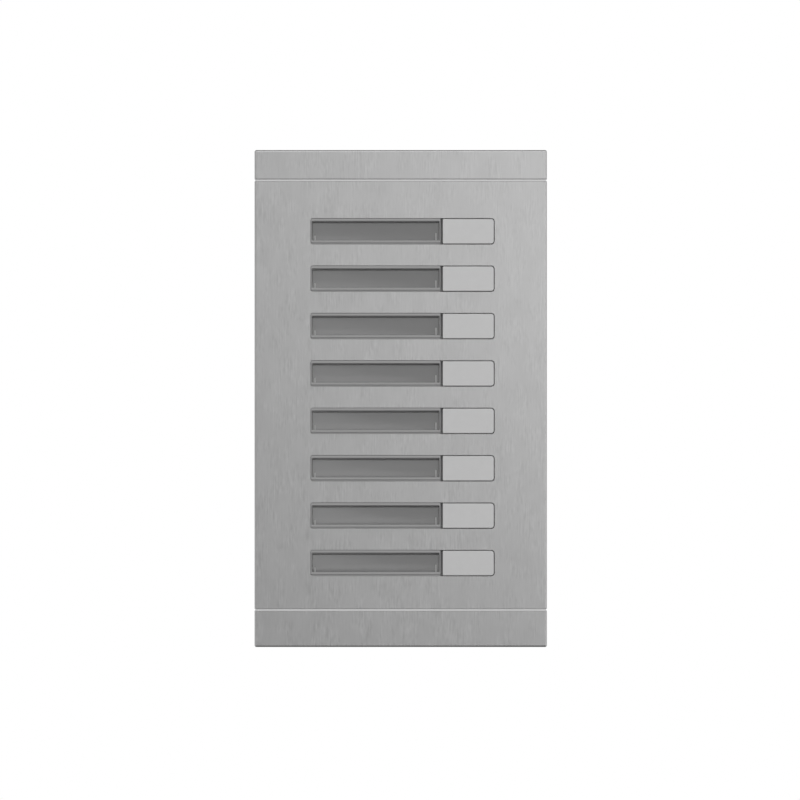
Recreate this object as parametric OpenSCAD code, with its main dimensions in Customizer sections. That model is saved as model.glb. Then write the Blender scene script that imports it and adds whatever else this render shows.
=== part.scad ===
// Call panel of a door intercom: eight call buttons, each beside a lit name window.
// Wall-mounted. The origin is the centre of the four wall screws, on the wall plane.
// +X is to the right and +Z is up for someone who faces the panel, and the front faces -Y.
// "Depth" is the distance out from the wall, so a point at depth d has y = -d. Millimetres.

/* [Panel] */
// Overall width
panel_w = 120; // [118:1:130]
// Overall height
panel_h = 204; // [202:1:220]
// Depth from the wall to the front face
panel_d = 34; // [34:1:40]
// Thickness of the front wall of the cover and caps
face_t = 3; // [2.6:0.2:3]
// Thickness of the side walls of the cover and caps
side_t = 2; // [1.6:0.2:2]
// Thickness of the end walls of the caps
end_t = 2.6; // [2.4:0.1:2.6]
// Radius of the four corners, seen from the front
corner_r = 0.8; // [0.5:0.1:3]
// Radius of the long front edges
edge_r = 0.8; // [0.4:0.1:1.2]
// Gap between the wall and the rear edge of the metal shell
shell_gap = 1.5; // [1:0.5:3]
// Height of the top cap
top_cap_h = 11.9; // [11:0.1:13]
// Height of the bottom cap
bottom_cap_h = 14.8; // [14:0.1:16]
// Thickness of the bright trim strip in each seam
trim_t = 0.9; // [0.6:0.1:1.2]
// How far a trim strip lies below the surface
trim_recess = 0.3; // [0.1:0.1:0.6]

/* [Rows] */
// Number of call rows
rows = 8; // [2:1:8]
// Height from one row to the next
pitch = 19.45; // [18.5:0.05:20]
// Height of the middle of the rows above the origin
rows_z = 0.5; // [0:0.1:2]
// Left end of a slot in the cover
slot_x0 = -37; // [-38:0.1:-37]
// Right end of a slot in the cover
slot_x1 = 38.5; // [38.5:0.1:40]
// Height of a slot
slot_h = 10.8; // [10.8:0.1:11.2]
// Radius of the slot's right corners
slot_r = 1.4; // [1.2:0.1:2]

/* [Call buttons] */
// Left edge of a button cap
button_x0 = 17.2; // [17.1:0.1:18]
// Right edge of a button cap
button_x1 = 38.2; // [36:0.1:38.2]
// Height of a button cap
button_h = 10.2; // [9.4:0.1:10.2]
// Radius of the cap's right corners
button_r = 1.1; // [0.8:0.1:1.6]
// How far a cap stands out of the cover at rest
button_proud = 0.4; // [0.2:0.1:0.6]
// How far a button travels when it is pressed
travel = 1; // [0.5:0.1:1]
// Radius of the stem that presses the switch
stem_r = 2.5; // [2:0.1:2.5]

/* [Name windows] */
// Left edge of the bezel round a window
bezel_x0 = -36.85; // [-36.85:0.05:-36.4]
// Right edge of the bezel round a window
bezel_x1 = 16.3; // [16:0.1:16.3]
// Bottom of a bezel, from the middle of its row
bezel_z0 = -5.2; // [-5.25:0.05:-5.1]
// Top of a bezel, from the middle of its row
bezel_z1 = 5.3; // [5.2:0.05:5.3]
// Width of the bezel's left and right walls, with their slopes
bezel_wall = 0.8; // [0.7:0.05:0.8]
// Width of the bezel's lower wall, with its slopes
bezel_low_wall = 1.45; // [1.35:0.05:1.45]
// Width of the bezel's upper wall, with its slope
bezel_top_wall = 1.25; // [1.15:0.05:1.3]
// How far the bezel's rim lies below the cover's front face
bezel_drop = 0.2; // [0.1:0.1:0.4]
// How far the window's face lies below the cover's front face
window_drop = 1.4; // [1.2:0.1:1.6]
// Width of the groove at the left and right of a window
side_groove = 0.1; // [0.1:0.05:0.8]
// Width of the groove above a window, where a blade lifts it out
top_groove = 0.55; // [0.5:0.05:1]
// Thickness of a name card
card_t = 0.3; // [0.2:0.05:0.3]

/* [Inside] */
// Depth of the circuit board's front face
board_d = 20.5; // [20.5:0.1:20.7]
// Thickness of the circuit board
board_t = 1.6; // [1:0.2:1.6]
// Depth of the chassis plate's rear face
plate_d = 28.6; // [28.4:0.1:28.8]
// Thickness of the walls of the chassis and rear box
wall_t = 2.4; // [2:0.1:2.6]
// Depth of the joint between the rear box and its gasket
joint_d = 18; // [17:0.5:18]
// Thickness of the gasket between the rear box and the chassis
gasket_t = 1.5; // [1:0.1:1.5]

/* [Wall side] */
// Thickness of the rear wall of the box
rear_t = 2; // [1.6:0.2:3]
// Thickness of the foam seal and of the pads beside it
pad_t = 1.2; // [0.8:0.1:1.5]
// Distance between the wall screws across the panel
fix_w = 80; // [70:1:84]
// Distance between the wall screws up the panel
fix_h = 160; // [150:1:164]
// Radius of the holes for the wall screws
fix_r = 2.25; // [2:0.05:2.75]
// Height of the cable entry below the origin
cable_z = -45; // [-55:1:-35]
// Radius of the cable hole in the grommet
cable_r = 3.5; // [2.5:0.1:4]

/* [Hidden] */
$fn = 64;
bite = 0.01; // how far a cutter runs past the face it cuts, or one solid into the next

ROW_NUMBERS = [for (i = [1:rows]) i];
function numbered(name) = [for (i = ROW_NUMBERS) str(name, "_", i)];

// Row 1 is the top row
function row_z(i) = rows_z + ((rows + 1) / 2 - i) * pitch;

// The metal shell
half_w = panel_w / 2;
half_h = panel_h / 2;
face_back = panel_d - face_t;
cover_z1 = half_h - top_cap_h - trim_t;
cover_z0 = -half_h + bottom_cap_h + trim_t;
end_z = half_h - end_t;

// The chassis and the box fit inside the shell
chassis_x = half_w - side_t - 0.3;
chassis_z = end_z - 1;
box_x = half_w - side_t - 0.6;
box_z = end_z - 2;
box_d0 = pad_t;
skirt_d = joint_d + gasket_t;

// Name window, from the front: sloped bezel, groove, bevelled pane, flange behind a lip
opening_x0 = bezel_x0 + bezel_wall;
opening_x1 = bezel_x1 - bezel_wall;
opening_z0 = bezel_z0 + bezel_low_wall;
opening_z1 = bezel_z1 - bezel_top_wall;
rim_d = panel_d - bezel_drop;
slope_d = rim_d - 0.9;
side_slope_w = bezel_wall - 0.1;
low_slope_w = 0.55;
top_slope_w = 0.65;
chamfer_t = 0.5;
lip_t = 1.2;
lip_w = 0.45;
seat_d = face_back - lip_t;
window_d = panel_d - window_drop;
window_bevel = 0.5;
window_low_bevel = 0.1;
flange_t = 0.8;
pocket_fit = 0.1;
card_d = seat_d - flange_t;
guide_d1 = card_d - card_t;
guide_d0 = board_d + 1.5;
sleeve_wall = 1;

// Call button
button_x = (button_x0 + button_x1) / 2;
button_d = panel_d + button_proud;
cap_back = face_back - 0.1;
cap_flange_t = 1.5;
flange_over = 1.1;
pocket_gap = 0.2;
pocket_floor = cap_back - cap_flange_t - travel - 0.2;
pocket_back = 26.6;
seal_t = 0.8;
stem_end = pocket_back - seal_t;

// Push switch
switch_w = 6.2;
switch_top = 24.2;
plunger_r = 1.7;
plunger_d0 = 22;
switch_cavity = board_d + 0.4;

// Circuit board and its fixings
board_x = 52;
board_z0 = -88;
board_z1 = 89;
post_x = 48;
post_z = [84, 0, -84];
post_r = 3;
board_screw_r = 1.15;
screw_head_r = 2.3;
screw_head_t = 1.5;

// Screws through the chassis into blind holes behind the face of the cover and caps
top_cap_screws = [[-35, 93.5], [35, 93.5]];
bottom_cap_screws = [[-35, -92.5], [35, -92.5]];
cover_screws = [for (x = [-post_x, post_x], z = [-42, 42]) [x, z]];
shell_screw_r = 1.25;
shell_hole_depth = 2.2;

// Security screws through the bottom cap into the box
lock_x = 36;
lock_d = 10;
lock_r = 1.5;
lock_head_r = 2.8;
lock_head_t = 1.3;
lock_top = -91;

// Cable entry, terminals and link header
grommet_seat_r = 8;
grommet_flange_r = 10;
terminal_x = 14;
terminal_z = -62;
poles = 4;
pole_pitch = 5.08;
terminal_h = 10;
terminal_depth = 10;
header_x = -24;
header_z = -62;
pin_pitch = 2.54;

// ---------- Drawing helpers ----------

// Draws a front-view outline (x, z) as a slab from depth d0 to depth d1
module slab(d0, d1) {
    rotate([90, 0, 0]) translate([0, 0, d0]) linear_extrude(d1 - d0) children();
}

// Draws a plan-view section (x, depth) as a bar from height z0 to height z1
module bar(z0, z1) {
    translate([0, 0, z0]) linear_extrude(z1 - z0) mirror([0, 1]) children();
}

// Draws a side-view section (depth, z) as a beam from x0 to x1
module beam(x0, x1) {
    translate([x0, 0, 0]) rotate([90, 0, 90]) linear_extrude(x1 - x0) mirror([1, 0]) children();
}

// Rod along the depth, at x and z
module rod(x, z, d0, d1, r) {
    translate([x, -d0, z]) rotate([90, 0, 0]) cylinder(h = d1 - d0, r = r);
}

// Block between two heights, two widths and two depths
module block(x0, x1, z0, z1, d0, d1) {
    translate([x0, -d1, z0]) cube([x1 - x0, d1 - d0, z1 - z0]);
}

// Rectangle with a radius at each corner: left-bottom, right-bottom, right-top, left-top
module rounded(x0, y0, x1, y1, r) {
    corners = [
        [x0, y0, 1, 1, r[0]],
        [x1, y0, -1, 1, r[1]],
        [x1, y1, -1, -1, r[2]],
        [x0, y1, 1, -1, r[3]]
    ];
    difference() {
        translate([x0, y0]) square([x1 - x0, y1 - y0]);
        for (c = corners) if (c[4] > 0)
            translate([min(c[0], c[0] + c[2] * c[4]), min(c[1], c[1] + c[3] * c[4])]) square(c[4]);
    }
    for (c = corners) if (c[4] > 0)
        translate([c[0] + c[2] * c[4], c[1] + c[3] * c[4]]) circle(c[4]);
}

// Rectangle about the origin with one radius all round
module panel_outline(x, z, r) {
    rounded(-x, -z, x, z, [r, r, r, r]);
}

// Rectangular ring about the origin, from half sizes x and z inwards by w
module ring_outline(x, z, w, r) {
    difference() {
        panel_outline(x, z, r);
        translate([-x + w, -z + w]) square([2 * (x - w), 2 * (z - w)]);
    }
}

// Screw along the depth with its head towards the wall, the head's seat at depth seat
module rear_screw(x, z, seat, tip, r) {
    difference() {
        union() {
            rod(x, z, seat - screw_head_t, seat, screw_head_r);
            rod(x, z, seat - bite, tip, r);
        }
        for (a = [0, 90])
            translate([x, 0, z]) rotate([0, a, 0])
                block(-1.3, 1.3, -0.3, 0.3, seat - screw_head_t - bite, seat - screw_head_t + 0.9);
    }
}

// ---------- Metal shell ----------

// Outer plan-view section of the shell, shrunk by inset on the outside
module shell_outline(inset) {
    rounded(
        -half_w + inset, shell_gap, half_w - inset, panel_d - inset,
        [0, 0, edge_r, edge_r]
    );
}

// The room inside the shell, in plan view
module shell_room() {
    translate([-half_w + side_t, shell_gap - 1])
        square([2 * (half_w - side_t), face_back - shell_gap + 1]);
}

// Extruded front cover: one aluminium section, cut to length, with the slots cut through it
module front_cover() {
    color("silver") difference() {
        bar(cover_z0, cover_z1) difference() {
            shell_outline(0);
            shell_room();
        }
        for (i = ROW_NUMBERS) slot_cutter(i);
        blind_holes(cover_screws);
    }
}

module slot_cutter(i) {
    slab(face_back - 1, panel_d + 1) translate([0, row_z(i)])
        rounded(slot_x0, -slot_h / 2, slot_x1, slot_h / 2, [0.9, slot_r, slot_r, 0.9]);
}

// End cap that closes the shell between heights z0 and z1; side is 1 at the top, -1 at the bottom
module end_cap(z0, z1, side) {
    difference() {
        intersection() {
            bar(z0, z1) shell_outline(0);
            slab(shell_gap, panel_d) panel_outline(half_w, half_h, corner_r);
        }
        bar(side > 0 ? z0 - 1 : -end_z, side > 0 ? end_z : z1 + 1) shell_room();
    }
}

// Blind holes behind the face for screws from the chassis
module blind_holes(places) {
    for (p = places) rod(p[0], p[1], face_back - 1, face_back + shell_hole_depth, shell_screw_r + 0.05);
}

// Top cap, with two ledges that hook behind the lugs of the rear box
module top_cap() {
    color("silver") difference() {
        union() {
            end_cap(half_h - top_cap_h, half_h, 1);
            for (s = [-1, 1])
                block(s * 26 - 6, s * 26 + 6, end_z - 1.6, end_z + bite, 3.5, 5.5);
        }
        blind_holes(top_cap_screws);
    }
}

// Bottom cap, with two counterbored holes for the security screws and a drain slot
module bottom_cap() {
    color("silver") difference() {
        end_cap(-half_h, -half_h + bottom_cap_h, -1);
        blind_holes(bottom_cap_screws);
        for (s = [-1, 1]) translate([s * lock_x, -lock_d, -half_h - 1]) {
            cylinder(h = end_t + 2, r = lock_r + 0.2);
            cylinder(h = 1 + lock_head_t + 0.1, r = lock_head_r + 0.2);
        }
        block(-6, 6, -half_h - 1, -end_z + 1, 20, 22);
    }
}

// Bright strip in a seam of the shell: the shell's section, a little smaller
module trim_strip(z0) {
    color("gainsboro") bar(z0, z0 + trim_t) difference() {
        shell_outline(trim_recess);
        shell_room();
    }
}

module top_trim_strip() {
    trim_strip(cover_z1);
}

module bottom_trim_strip() {
    trim_strip(cover_z0 - trim_t);
}

// ---------- Name windows ----------

// Straight-sided space behind the lip for the pane's flange, the card and the light guide
module window_space(i, d0, d1, shrink) {
    block(
        opening_x0 - lip_w + shrink, opening_x1 + lip_w - shrink,
        row_z(i) + opening_z0 - lip_w + shrink, row_z(i) + opening_z1 + lip_w - shrink,
        d0, d1
    );
}

// Block with straight sides from depth d0 to d1 that slope out up to depth d2: by flare at the left
// and right, by low_flare below and by top_flare above. A negative flare slopes a side in.
module flared(i, x0, x1, z0, z1, d0, d1, d2, flare, low_flare, top_flare) {
    intersection() {
        bar(row_z(i) - slot_h, row_z(i) + slot_h) polygon([
            [x0, d0], [x0, d1], [x0 - flare, d2], [x1 + flare, d2], [x1, d1], [x1, d0]
        ]);
        beam(bezel_x0 - 1, bezel_x1 + 1) translate([0, row_z(i)]) polygon([
            [d0, z0], [d1, z0], [d2, z0 - low_flare], [d2, z1 + top_flare], [d1, z1], [d0, z1]
        ]);
    }
}

// Solid bezel that the chassis raises into the left part of a slot. Below the window its rim is a
// narrow ridge that slopes back towards the cover.
module bezel(i) {
    ridge_z = opening_z0 - low_slope_w - 0.05;
    difference() {
        slab(face_back - bite, rim_d) translate([0, row_z(i)])
            rounded(bezel_x0, bezel_z0, bezel_x1, bezel_z1, [0.6, 0.3, 0.3, 0.75]);
        beam(bezel_x0 - 1, bezel_x1 + 1) translate([0, row_z(i)]) polygon([
            [rim_d - chamfer_t, bezel_z0 - 1], [rim_d - chamfer_t, bezel_z0],
            [rim_d, ridge_z], [rim_d + 1, ridge_z], [rim_d + 1, bezel_z0 - 1]
        ]);
    }
}

// Clear pane: a bevelled block in the bezel, with a flange that the lip holds
module name_window(i) {
    color("dimgray", 0.6) {
        window_space(i, card_d, seat_d, pocket_fit);
        flared(
            i, opening_x0 + side_groove, opening_x1 - side_groove,
            opening_z0 + pocket_fit, opening_z1 - top_groove,
            seat_d - bite, window_d - window_bevel, window_d, -window_bevel, -window_low_bevel, -window_bevel
        );
    }
}

// Blank card with the tenant's name, which slips in behind the pane
module name_card(i) {
    color("lightgray") window_space(i, guide_d1, card_d, 2 * pocket_fit);
}

// Block that spreads the light of two lamps behind the card, on two feet that touch the board
module light_guide(i) {
    z = row_z(i);
    color("white") {
        window_space(i, guide_d0, guide_d1, 2 * pocket_fit);
        for (x = [opening_x0 + 2, opening_x1 - 2])
            block(x - 1, x + 1, z - 1, z + 1, board_d, guide_d0 + bite);
    }
}

// ---------- Call buttons ----------

// Cap outline seen from the front, grown by grow
module cap_outline(grow) {
    rounded(
        button_x0 - grow, -button_h / 2 - grow, button_x1 + grow, button_h / 2 + grow,
        [0.4, button_r, button_r, 0.4]
    );
}

// Call button: a hollow cap, a flange that stops it behind the cover, and a stem to the switch
module call_button(i) {
    z = row_z(i);
    flange_back = cap_back - cap_flange_t;
    color("gainsboro") difference() {
        union() {
            slab(cap_back - bite, button_d) translate([0, z]) cap_outline(0);
            block(
                button_x0, button_x1 + flange_over,
                z - button_h / 2 - flange_over, z + button_h / 2 + flange_over,
                flange_back, cap_back
            );
            rod(button_x, z, stem_end, flange_back + bite, stem_r);
        }
        // Two pockets beside the stem keep the walls even
        for (s = [-1, 1])
            block(
                button_x + s * 6 - 2.6, button_x + s * 6 + 2.6, z - 3.2, z + 3.2,
                flange_back - 1, button_d - 1.6
            );
    }
}

// The room that a button's flange slides in, and the hole for its stem
module button_space(i) {
    z = row_z(i);
    block(
        button_x0 - pocket_gap, button_x1 + flange_over + pocket_gap,
        z - button_h / 2 - flange_over - pocket_gap, z + button_h / 2 + flange_over + pocket_gap,
        pocket_floor, face_back + 1
    );
    rod(button_x, z, pocket_back - 1, pocket_floor + 1, stem_r + pocket_gap);
}

// Plunger of one push switch, which the stem rests on
module switch_plunger(i) {
    color("white") {
        rod(button_x, row_z(i), plunger_d0, switch_top + 0.4, plunger_r);
        rod(button_x, row_z(i), switch_top + 0.4 - bite, stem_end, plunger_r - 0.3);
    }
}

// Bodies of the push switches, each with a well for its plunger
module switch_housings() {
    color("dimgray") for (i = ROW_NUMBERS) difference() {
        slab(board_d, switch_top) translate([button_x, row_z(i)])
            panel_outline(switch_w / 2, switch_w / 2, 0.5);
        rod(button_x, row_z(i), switch_cavity, switch_top + 1, plunger_r + 0.1);
    }
}

// Silicone strip behind the button pockets, with a close hole round each stem
module button_seal() {
    color("darkslategray") difference() {
        slab(stem_end, pocket_back)
            rounded(button_x - 7, row_z(rows) - 8, button_x + 7, row_z(1) + 8, [2, 2, 2, 2]);
        for (i = ROW_NUMBERS) rod(button_x, row_z(i), stem_end - 1, pocket_back + 1, stem_r + 0.08);
    }
}

// ---------- Chassis ----------

// Moulded tray behind the cover: it holds the windows, guides the buttons and carries the board
module chassis() {
    color("gray") difference() {
        union() {
            slab(plate_d, face_back) panel_outline(chassis_x, chassis_z, 1);
            slab(skirt_d, plate_d + bite) ring_outline(chassis_x, chassis_z, wall_t, 1);
            for (i = ROW_NUMBERS) {
                bezel(i);
                button_guide(i);
                guide_sleeve(i);
            }
            for (x = [-post_x, post_x], z = post_z) rod(x, z, board_d, plate_d + bite, post_r);
        }
        for (i = ROW_NUMBERS) {
            button_space(i);
            window_space(i, guide_d0 - 1, seat_d, 0);
            bezel_opening(i);
        }
        for (x = [-post_x, post_x], z = post_z)
            rod(x, z, board_d - 1, plate_d - 1, board_screw_r + 0.05);
        for (p = concat(top_cap_screws, bottom_cap_screws, cover_screws))
            rod(p[0], p[1], plate_d - 1, face_back + 1, shell_screw_r + 0.2);
    }
}

// Block behind the plate that a button's flange and stem slide in
module button_guide(i) {
    block(
        button_x0 - 1.1, button_x1 + flange_over + 1.4,
        row_z(i) - button_h / 2 - flange_over - 1.4, row_z(i) + button_h / 2 + flange_over + 1.4,
        pocket_back, plate_d + bite
    );
}

// Sleeve behind the plate round a light guide
module guide_sleeve(i) {
    window_space(i, guide_d0 + 1, plate_d + bite, -sleeve_wall);
}

// The opening of a bezel: straight through the lip, then sloped out to the rim
module bezel_opening(i) {
    flared(
        i, opening_x0, opening_x1, opening_z0, opening_z1,
        seat_d - bite, slope_d, rim_d + bite, side_slope_w, low_slope_w, top_slope_w
    );
}

// ---------- Circuit board ----------

module circuit_board() {
    color("darkgreen") difference() {
        slab(board_d - board_t, board_d)
            rounded(-board_x, board_z0, board_x, board_z1, [2, 2, 2, 2]);
        for (x = [-post_x, post_x], z = post_z) rod(x, z, board_d - board_t - 1, board_d + 1, 1.5);
    }
}

// Two lamps behind each name window
module backlight_leds() {
    color("lightyellow") for (i = ROW_NUMBERS, x = [-23, 3])
        block(x - 1.7, x + 1.7, row_z(i) - 1.4, row_z(i) + 1.4, board_d, board_d + 1.1);
}

// Rectangular component on the wall side of the board
module chip(x, z, w, h, t) {
    back = board_d - board_t;
    block(x - w / 2, x + w / 2, z - h / 2, z + h / 2, back - t, back);
}

// Controller, drivers, capacitors, resistors and link header on the wall side of the board
module board_components() {
    color("darkslategray") {
        link_header();
        chip(-22, 34, 12, 12, 1.6);
        for (z = [8, -14]) chip(-22, z, 5, 10, 1.5);
        chip(20, -34, 7, 6.5, 2.3);
        for (x = [-8, -2, 4, 10]) chip(x, 34, 2, 1.25, 0.6);
        for (z = [20, 16, 12, 8, 4]) chip(0, z, 3.2, 1.6, 0.7);
        for (z = [-30, -42]) {
            rod(36, z, board_d - board_t - 10, board_d - board_t, 4);
            rod(36, z, board_d - board_t - 0.8, board_d - board_t, 4.4);
        }
    }
}

// Shrouded header for the ribbon cable from the main panel
module link_header() {
    back = board_d - board_t;
    difference() {
        chip(header_x, header_z, 20, 8.8, 9);
        block(header_x - 9, header_x + 9, header_z - 3.3, header_z + 3.3, back - 10, back - 2);
        block(header_x - 2.2, header_x + 2.2, header_z - 5, header_z, back - 10, back - 3);
    }
    for (n = [-2:2], s = [-1, 1])
        block(
            header_x + n * pin_pitch - 0.32, header_x + n * pin_pitch + 0.32,
            header_z + s * pin_pitch / 2 - 0.32, header_z + s * pin_pitch / 2 + 0.32,
            back - 8, back - 2 + bite
        );
}

// Four-pole screw terminal for the bus and supply wires, entered from below
module terminal_block() {
    back = board_d - board_t;
    w = poles * pole_pitch;
    color("seagreen") difference() {
        block(
            terminal_x - w / 2, terminal_x + w / 2,
            terminal_z - terminal_depth / 2, terminal_z + terminal_depth / 2,
            back - terminal_h, back
        );
        for (p = [0:poles - 1]) {
            x = pole_x(p);
            rod(x, terminal_z + 1, back - terminal_h - 1, back - terminal_h + 4, 1.9);
            block(
                x - 1.8, x + 1.8,
                terminal_z - terminal_depth / 2 - 1, terminal_z + terminal_depth / 2 - 2,
                back - 5.4, back - 1.6
            );
        }
    }
}

function pole_x(p) = terminal_x + (p - (poles - 1) / 2) * pole_pitch;

// Slotted clamp screws of the terminal block
module terminal_screws() {
    seat = board_d - board_t - terminal_h;
    color("silver") for (p = [0:poles - 1]) difference() {
        rod(pole_x(p), terminal_z + 1, seat + 1, seat + 4, 1.8);
        block(pole_x(p) - 2, pole_x(p) + 2, terminal_z + 0.7, terminal_z + 1.3, seat, seat + 1.8);
    }
}

module board_screws() {
    color("silver") for (x = [-post_x, post_x], z = post_z)
        rear_screw(x, z, board_d - board_t, plate_d - 2, board_screw_r);
}

module shell_screws() {
    color("silver") for (p = concat(top_cap_screws, bottom_cap_screws, cover_screws))
        rear_screw(p[0], p[1], plate_d, face_back + shell_hole_depth - 0.2, shell_screw_r);
}

// ---------- Rear box ----------

module rear_box() {
    back = box_d0 + rear_t;
    color("dimgray") difference() {
        union() {
            slab(box_d0, back) panel_outline(box_x, box_z, 1);
            slab(back - bite, joint_d) ring_outline(box_x, box_z, wall_t, 1);
            // Pads that touch the wall round the wall screws
            for (x = [-fix_w / 2, fix_w / 2], z = [-fix_h / 2, fix_h / 2])
                rod(x, z, 0, box_d0 + bite, 7);
            // Lugs that the top cap hooks on
            for (s = [-1, 1])
                block(s * 26 - 5, s * 26 + 5, box_z - bite, box_z + 1.4, 6, 8.5);
            // Blocks that the security screws bite into
            for (s = [-1, 1]) {
                block(
                    s * lock_x - 4.5, s * lock_x + 4.5, -box_z + wall_t - bite, lock_top + 2,
                    back - bite, lock_d + 4
                );
                block(
                    s * lock_x - 4.5, s * lock_x + 4.5, -end_z + 0.2, -box_z + bite,
                    lock_d - 4, lock_d + 4
                );
            }
            // Stiffening ribs across the rear wall
            for (z = [-20, 20, 50])
                block(-box_x + wall_t, box_x - wall_t, z - 0.8, z + 0.8, back - bite, back + 2);
        }
        for (x = [-fix_w / 2, fix_w / 2], z = [-fix_h / 2, fix_h / 2])
            rod(x, z, -1, back + 1, fix_r);
        rod(0, cable_z, 0, back + 1, grommet_seat_r);
        for (s = [-1, 1]) translate([s * lock_x, -lock_d, -end_z - 1])
            cylinder(h = end_z + lock_top + 1.5, r = lock_r + 0.05);
        // Drain slot in the floor of the box
        block(-6, 6, -box_z - 1, -box_z + wall_t + 1, 12, 14);
    }
}

// Screws with a tamper-proof six-lobe drive, up through the bottom cap
module security_screws() {
    head = -half_h + 0.1;
    color("silver") for (s = [-1, 1]) translate([s * lock_x, -lock_d, head]) difference() {
        union() {
            cylinder(h = lock_head_t, r = lock_head_r);
            translate([0, 0, lock_head_t - bite]) cylinder(h = lock_top - head - lock_head_t, r = lock_r);
        }
        difference() {
            translate([0, 0, -1]) cylinder(h = 1.9, r = 1.3, $fn = 6);
            translate([0, 0, -2]) cylinder(h = 4, r = 0.4);
        }
    }
}

// Seal between the rear box and the chassis
module box_gasket() {
    color("darkslategray") slab(joint_d, skirt_d) ring_outline(box_x, box_z, wall_t - 0.3, 1);
}

// Rubber grommet in the rear wall of the box
module cable_grommet() {
    back = box_d0 + rear_t;
    color("darkslategray") difference() {
        union() {
            rod(0, cable_z, 0, box_d0, grommet_flange_r);
            rod(0, cable_z, box_d0 - bite, back + bite, grommet_seat_r - 0.05);
            rod(0, cable_z, back, back + 1.4, grommet_flange_r);
            rod(0, cable_z, back, back + 3, cable_r + 1.6);
        }
        rod(0, cable_z, -1, back + 4, cable_r);
    }
}

// Foam seal round the rear face, pressed against the wall
module wall_seal() {
    color("darkslategray") slab(0, box_d0) ring_outline(box_x, box_z, 4, 1);
}

// ---------- Nodes ----------

front_cover();
top_cap();
bottom_cap();
top_trim_strip();
bottom_trim_strip();
chassis();
for (i = ROW_NUMBERS) {
    call_button(i);
    switch_plunger(i);
    name_window(i);
    name_card(i);
    light_guide(i);
}
button_seal();
circuit_board();
switch_housings();
backlight_leds();
board_components();
terminal_block();
terminal_screws();
board_screws();
shell_screws();
security_screws();
rear_box();
box_gasket();
cable_grommet();
wall_seal();
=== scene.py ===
"""Looks of a surface-mounted door intercom call panel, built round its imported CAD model.

Lengths in the code are millimetres and become metres when a piece's mesh is finished.
x is to the right and z is up for someone who faces the panel. A depth d is the distance out
from the wall, so a point at depth d has y = -d.
"""
import math
from types import SimpleNamespace

import bmesh
import bpy
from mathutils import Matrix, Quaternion, Vector


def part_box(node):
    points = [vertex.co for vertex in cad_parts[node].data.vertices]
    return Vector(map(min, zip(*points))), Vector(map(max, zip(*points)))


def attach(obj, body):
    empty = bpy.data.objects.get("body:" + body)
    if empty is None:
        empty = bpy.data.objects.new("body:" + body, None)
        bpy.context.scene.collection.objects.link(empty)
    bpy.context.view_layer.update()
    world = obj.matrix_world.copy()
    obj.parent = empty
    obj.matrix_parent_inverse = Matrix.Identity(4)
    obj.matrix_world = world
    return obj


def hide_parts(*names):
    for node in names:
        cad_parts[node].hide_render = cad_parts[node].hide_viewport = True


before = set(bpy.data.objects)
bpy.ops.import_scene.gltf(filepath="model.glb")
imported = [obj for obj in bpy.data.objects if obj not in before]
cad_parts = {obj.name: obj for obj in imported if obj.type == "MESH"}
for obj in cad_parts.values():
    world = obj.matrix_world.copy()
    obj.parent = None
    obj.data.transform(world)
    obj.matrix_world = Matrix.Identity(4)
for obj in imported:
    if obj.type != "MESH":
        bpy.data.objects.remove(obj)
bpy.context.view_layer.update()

MM = 0.001


def span(node):
    """A CAD node's box in millimetres: x0 to x1 across, z0 to z1 up and d0 to d1 out."""
    low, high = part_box(node)
    return SimpleNamespace(
        x0=low.x / MM, x1=high.x / MM, z0=low.z / MM, z1=high.z / MM, d0=-high.y / MM, d1=-low.y / MM
    )


# ---------- Sizes ----------

ROWS = [i for i in range(1, 99) if f"call_button_{i}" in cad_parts]
COVER = span("front_cover")
TOP_CAP = span("top_cap")
BOTTOM_CAP = span("bottom_cap")
CHASSIS = span("chassis")
BUTTONS = {i: span(f"call_button_{i}") for i in ROWS}
ROW_Z = {i: (b.z0 + b.z1) / 2 for i, b in BUTTONS.items()}
BUTTON = BUTTONS[ROWS[0]]
WINDOW = span("name_window_1")
BOARD = span("circuit_board")
BOX = span("rear_box")
SEAL = span("wall_seal")

FACE_T = 3.0  # front wall of the shell
SIDE_T = 2.0  # side walls of the shell
END_T = 2.6  # end walls of the caps
FACE_BACK = COVER.d1 - FACE_T
CORNER_R = 0.8
EDGE_R = 0.8
SEAM_BREAK = 0.16  # edge break of the shell at its seams, as a share of EDGE_R
SLOT = SimpleNamespace(x0=-37.0, x1=38.5, z0=-5.34, z1=5.4, r=1.4, left_r=0.9)
SLOT_EDGE_R = 0.1
BEZEL = SimpleNamespace(
    x0=-36.85, x1=16.3, z0=-5.28, z1=5.3, wall=0.5, low_wall=1.63, top_wall=1.25,
    slope=0.4, low_slope=0.55, low_depth=0.45, top_slope=0.45, groove=0.6, land_w=0.2, land_drop=0.2,
    rim_d=COVER.d1 - 0.2,
)
OPENING = SimpleNamespace(
    x0=BEZEL.x0 + BEZEL.wall, x1=BEZEL.x1 - BEZEL.wall, z0=BEZEL.z0 + BEZEL.low_wall, z1=BEZEL.z1 - BEZEL.top_wall
)
# Share of the groove's width, and share of its depth there
GROOVE_CURVE = ((0, 0), (0.2, 0.03), (0.4, 0.22), (0.6, 0.75), (0.72, 1), (0.85, 0.9), (1, 0.35))
LIP_W = 0.45  # above and below a window
SIDE_LIP_W = 0.15  # at its left and right
SEAT_D = FACE_BACK - 1.2
SLOPE_DEPTH = 0.9
PANE = SimpleNamespace(
    x0=OPENING.x0 + 0.03, x1=OPENING.x1 - 0.03,
    z0=OPENING.z0 + 0.02, z1=OPENING.z1 - 0.48, d1=WINDOW.d1,
    bevel_depth=0.25, top_bevel=0.2, side_bevel=0.15, low_bevel=0.03, droop=0.13,
)
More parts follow.
